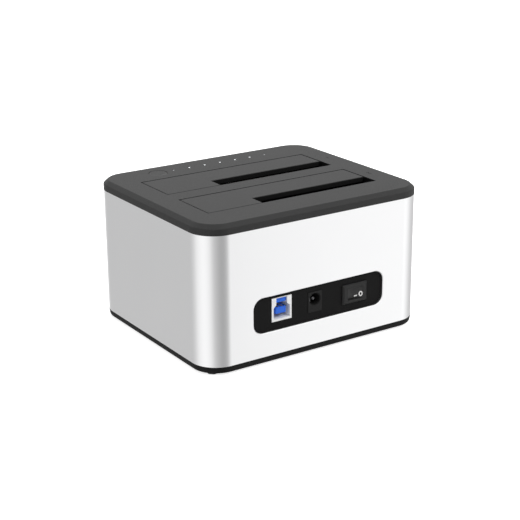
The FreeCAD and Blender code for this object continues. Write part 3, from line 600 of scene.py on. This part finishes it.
def switch_marks():
    """The dash and the ring printed on the raised half of the paddle."""
    form = form_of("rocker_paddle")
    half = max((face for face in form.faces if face.normal.x > 0.2),
               key=lambda face: face.normal.y * face.calc_area())
    normal = half.normal.copy()
    middle = half.calc_center_median() / MM
    form.free()
    up = Vector((0, 0, 1))
    across = up.cross(normal).normalized()

    ring_middle = (1.42, -0.90)
    outer = (1.08, 1.48)              # half width and half height of the ring's outline
    inner = (0.52, 0.80)              # and of its hole

    def on_ring(turn, reach):
        return (ring_middle[0] + reach[0] * math.cos(turn),
                ring_middle[1] + reach[1] * math.sin(turn))

    steps = 28
    turns = angles(steps + 1, steps)
    ring = [[on_ring(a, outer), on_ring(b, outer), on_ring(b, inner), on_ring(a, inner)]
            for a, b in zip(turns, turns[1:])]
    dash = [(-2.20, -2.45), (-0.55, -2.05), (-0.55, -1.30), (-2.20, -1.70)]
    made("switch_marks", printed(ring + [dash], middle, across, up), "rocker", finish="mark_paint")


def numeral(name, text, x, y, size=4.2, lift=0.02):
    """A bay's number, printed on the cover."""
    curve = bpy.data.curves.new(name, "FONT")
    curve.body = text
    curve.size = size * MM
    curve.align_x = "CENTER"
    curve.align_y = "CENTER"
    words = bpy.data.objects.new(name + "_outline", curve)
    bpy.context.scene.collection.objects.link(words)
    depsgraph = bpy.context.evaluated_depsgraph_get()
    flat = bpy.data.meshes.new_from_object(words.evaluated_get(depsgraph))
    bpy.data.objects.remove(words)
    bpy.data.curves.remove(curve)
    bm = bmesh.new()
    bm.from_mesh(flat)
    bpy.data.meshes.remove(flat)
    bm.transform(Matrix.Translation(Vector((x, y, z_top + lift)) * MM))
    made(name, bm, "casing", finish="numeral_ink")


round_pipes()
door_spring("front")
door_spring("rear")
switch_marks()
numeral("bay_number_1", "1", -58.8, -17.4)
numeral("bay_number_2", "2", -57.6, 21.9)


# ---------------------------------------------------------------- stage, lights and camera
def floor():
    """A plain pale floor, which turns to pure white away from the object."""
    side = 6.0
    corners = [(-side, -side, 0), (side, -side, 0), (side, side, 0), (-side, side, 0)]
    mesh = bpy.data.meshes.new("floor")
    mesh.from_pydata(corners, [], [(0, 1, 2, 3)])
    plane = bpy.data.objects.new("floor", mesh)
    bpy.context.scene.collection.objects.link(plane)
    plane.visible_glossy = False
    shader = Shader("floor", base_color=grey(0.80), roughness=0.9, specular_ior_level=0.0)
    away = shader.node("ShaderNodeVectorMath", operation="LENGTH")
    shader.link(shader.place, away.inputs[0])
    seen = shader.node("ShaderNodeLightPath").outputs["Is Camera Ray"]
    # From 0.10 to 0.40 metres away from the object's middle, the floor's own glow rises to white.
    glow = shader.ramp(away.outputs["Value"], 0.10, 0.40, 0.78, 1.0)
    shader.set("Emission Color", grey(1.0))
    shader.link(shader.math("MULTIPLY", glow, seen), shader.principled.inputs["Emission Strength"])
    mesh.materials.append(shader.material)


def world():
    """A plain bright room, white to the camera. In reflections its walls differ softly, as the
    boards and diffusers round a table do."""
    # Brightness of the walls by bearing, in degrees from +X towards +Y.
    walls = {-180: 0.66, -140: 0.62, -118: 0.86, -95: 0.82, -72: 0.58, -60: 0.56, -40: 0.65,
             -12: 1.00, 12: 1.11, 32: 1.02, 58: 0.565, 84: 0.40, 106: 0.44, 118: 1.00, 126: 1.13,
             140: 1.24, 158: 0.97, 180: 0.66}
    brightest = 2.0                   # a colour ramp ends at 1, so the walls are divided by this
    ambient = 0.45                    # what the room adds to the light on the object
    room = bpy.data.worlds.new("studio")
    bpy.context.scene.world = room
    room.use_nodes = True
    graph = Graph(room.node_tree)
    split = graph.node("ShaderNodeSeparateXYZ")
    graph.link(graph.node("ShaderNodeTexCoord").outputs["Generated"], split.inputs["Vector"])
    height = split.outputs["Z"]
    bearing = graph.math("ARCTAN2", split.outputs["Y"], split.outputs["X"])
    band = graph.node("ShaderNodeValToRGB")
    band.color_ramp.interpolation = "EASE"
    stops = band.color_ramp.elements
    while len(stops) < len(walls):
        stops.new(0.5)
    for stop, (degrees, value) in zip(stops, walls.items()):
        stop.position = (degrees + 180) / 360
        stop.color = grey(value / brightest) + (1,)
    graph.link(graph.ramp(bearing, -math.pi, math.pi, 0, 1), band.inputs["Fac"])
    wall = graph.math("MULTIPLY", band.outputs["Color"], brightest)
    # How the room changes with the height of a direction, which is -1 straight down and 1 up.
    under = graph.ramp(height, -0.85, -0.50, 0.85, 1, "SMOOTHSTEP")
    ceiling = graph.ramp(height, 0.35, 0.85, 0.92, 1.25, "SMOOTHSTEP")
    overhead = graph.ramp(height, 0.10, 0.45, 0, 1, "SMOOTHSTEP")
    reflected = graph.math("ADD",
                           graph.math("MULTIPLY", graph.math("MULTIPLY", wall, under),
                                      graph.math("SUBTRACT", 1.0, overhead)),
                           graph.math("MULTIPLY", overhead, ceiling))
    path = graph.node("ShaderNodeLightPath")
    glossy = path.outputs["Is Glossy Ray"]
    seen = path.outputs["Is Camera Ray"]
    plain = graph.math("ADD", ambient, graph.math("MULTIPLY", seen, 1.0 - ambient))
    strength = graph.math("ADD", graph.math("MULTIPLY", reflected, glossy),
                          graph.math("MULTIPLY", plain, graph.math("SUBTRACT", 1.0, glossy)))
    background = room.node_tree.nodes["Background"]
    graph.link(strength, background.inputs["Strength"])
    background.inputs["Color"].default_value = (1, 1, 1, 1)


def softbox(name, place, target, size, power):
    """A rectangular lamp, which reflections don't show."""
    light = bpy.data.lights.new(name, "AREA")
    light.shape = "RECTANGLE"
    light.size, light.size_y = size
    light.energy = power
    lamp = bpy.data.objects.new(name, light)
    lamp.location = place
    aim = Vector(target) - Vector(place)
    lamp.rotation_euler = aim.to_track_quat("-Z", "Y").to_euler()
    lamp.visible_glossy = False
    bpy.context.scene.collection.objects.link(lamp)


def camera():
    """The photo's camera, as fitted to the casing's edges."""
    place = Vector((368.80, 560.81, 264.64)) * MM
    forward = Vector((-0.52060, -0.78909, -0.32604)).normalized()
    roll = math.radians(-0.407)
    right = forward.cross(Vector((0, 0, 1))).normalized()
    up = right.cross(forward)
    turned_right = math.cos(roll) * right + math.sin(roll) * up
    turned_up = math.cos(roll) * up - math.sin(roll) * right
    axes = Matrix((turned_right, turned_up, -forward)).transposed()
    data = bpy.data.cameras.new("camera")
    data.lens = 90.69
    data.sensor_width = 36.0
    data.clip_start = 0.01
    thing = bpy.data.objects.new("camera", data)
    thing.matrix_world = Matrix.Translation(place) @ axes.to_4x4()
    bpy.context.scene.collection.objects.link(thing)
    bpy.context.scene.camera = thing


floor()
world()
softbox("overhead", (-0.25, -0.45, 0.95), (0, 0, 0.05), (0.9, 0.6), 3.6)
softbox("back_fill", (-0.38, 0.62, 0.82), (0, 0.03, 0.04), (0.5, 0.4), 4.6)
softbox("side_fill", (0.95, 0.0, 0.55), (0.03, 0, 0.04), (0.25, 0.7), 1.3)
camera()
bpy.context.scene.view_settings.view_transform = "Standard"
